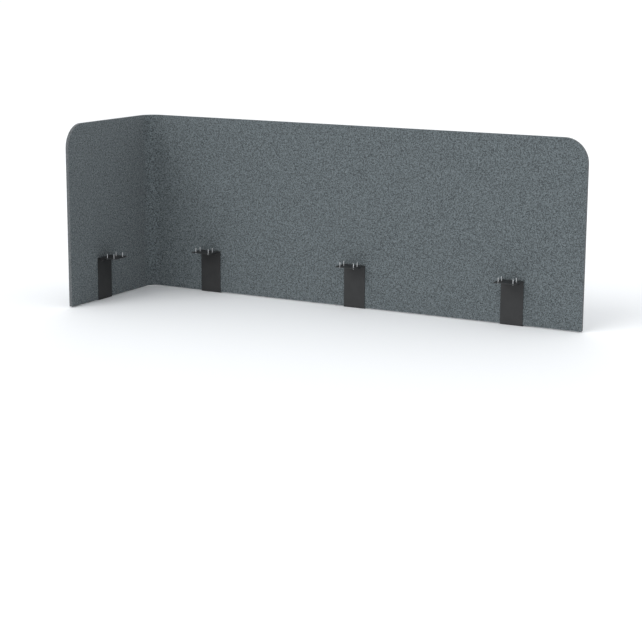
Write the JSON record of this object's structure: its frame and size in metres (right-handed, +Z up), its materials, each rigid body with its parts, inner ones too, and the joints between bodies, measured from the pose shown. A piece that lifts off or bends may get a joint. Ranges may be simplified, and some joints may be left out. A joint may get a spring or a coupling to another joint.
{
  "type": "desk privacy panel",
  "caption": "L-shaped bent felt screen that stands round the back and left side of a desk, clamped in screw-on steel brackets under the desktop.",
  "frame": {"origin": "middle of the back middle bracket's flange, on its top face, where it meets the underside of the desktop", "axes": "+X along the desk's back edge away from the wing, +Y away from the desk, +Z up"},
  "size_m": [1.7092, 0.5292, 0.6275],
  "materials": {
    "felt": "dense needled felt, melange blue-grey, matte",
    "black_steel": "fine-textured black powder coat",
    "rubber": "matte black rubber",
    "zinc": "bright zinc plated",
    "knob_plastic": "matte black moulded nylon"
  },
  "bodies": {
    "brackets": {"back_left_bracket": "black_steel", "back_left_weld_nut": "zinc", "back_left_wood_screw_1": "zinc", "back_left_wood_screw_2": "zinc", "back_left_wood_screw_3": "zinc", "back_left_wood_screw_4": "zinc", "back_middle_bracket": "black_steel", "back_middle_weld_nut": "zinc", "back_middle_wood_screw_1": "zinc", "back_middle_wood_screw_2": "zinc", "back_middle_wood_screw_3": "zinc", "back_middle_wood_screw_4": "zinc", "back_right_bracket": "black_steel", "back_right_weld_nut": "zinc", "back_right_wood_screw_1": "zinc", "back_right_wood_screw_2": "zinc", "back_right_wood_screw_3": "zinc", "back_right_wood_screw_4": "zinc", "wing_bracket": "black_steel", "wing_weld_nut": "zinc", "wing_wood_screw_1": "zinc", "wing_wood_screw_2": "zinc", "wing_wood_screw_3": "zinc", "wing_wood_screw_4": "zinc"},
    "panel": {"felt_panel": "felt"},
    "back_left_clamp": {"back_left_pressure_plate": "zinc", "back_left_pressure_pad": "rubber"},
    "back_left_screw": {"back_left_thumb_screw": "zinc", "back_left_knob": "knob_plastic"},
    "back_middle_clamp": {"back_middle_pressure_plate": "zinc", "back_middle_pressure_pad": "rubber"},
    "back_middle_screw": {"back_middle_thumb_screw": "zinc", "back_middle_knob": "knob_plastic"},
    "back_right_clamp": {"back_right_pressure_plate": "zinc", "back_right_pressure_pad": "rubber"},
    "back_right_screw": {"back_right_thumb_screw": "zinc", "back_right_knob": "knob_plastic"},
    "wing_clamp": {"wing_pressure_plate": "zinc", "wing_pressure_pad": "rubber"},
    "wing_screw": {"wing_thumb_screw": "zinc", "wing_knob": "knob_plastic"}
  },
  "joints": [
    {"name": "panel_lift", "type": "slide", "parent": "brackets", "child": "panel", "axis": [0, 0, 1], "range_m": [0, 0.05]},
    {"name": "back_left_clamp_slide", "type": "slide", "parent": "brackets", "child": "back_left_clamp", "axis": [0, 1, 0], "range_m": [0, 0.003]},
    {"name": "back_left_screw_turn", "type": "hinge", "parent": "back_left_clamp", "child": "back_left_screw", "pos_m": [-0.583, 0.075, -0.1275], "axis": [0, 1, 0], "range_deg": [0, 1080]},
    {"name": "back_middle_clamp_slide", "type": "slide", "parent": "brackets", "child": "back_middle_clamp", "axis": [0, 1, 0], "range_m": [0, 0.003]},
    {"name": "back_middle_screw_turn", "type": "hinge", "parent": "back_middle_clamp", "child": "back_middle_screw", "pos_m": [0, 0.075, -0.1275], "axis": [0, 1, 0], "range_deg": [0, 1080]},
    {"name": "back_right_clamp_slide", "type": "slide", "parent": "brackets", "child": "back_right_clamp", "axis": [0, 1, 0], "range_m": [0, 0.003]},
    {"name": "back_right_screw_turn", "type": "hinge", "parent": "back_right_clamp", "child": "back_right_screw", "pos_m": [0.583, 0.075, -0.1275], "axis": [0, 1, 0], "range_deg": [0, 1080]},
    {"name": "wing_clamp_slide", "type": "slide", "parent": "brackets", "child": "wing_clamp", "axis": [-1, 0, 0], "range_m": [0, 0.003]},
    {"name": "wing_screw_turn", "type": "hinge", "parent": "wing_clamp", "child": "wing_screw", "pos_m": [-0.87, -0.249, -0.1275], "axis": [-1, 0, 0], "range_deg": [0, 1080]}
  ],
  "couplings": [
    {"joint": "back_left_screw_turn", "follows": "back_left_clamp_slide", "rad_per_m": 6283.2},
    {"joint": "back_middle_screw_turn", "follows": "back_middle_clamp_slide", "rad_per_m": 6283.2},
    {"joint": "back_right_screw_turn", "follows": "back_right_clamp_slide", "rad_per_m": 6283.2},
    {"joint": "wing_screw_turn", "follows": "wing_clamp_slide", "rad_per_m": 6283.2}
  ]
}
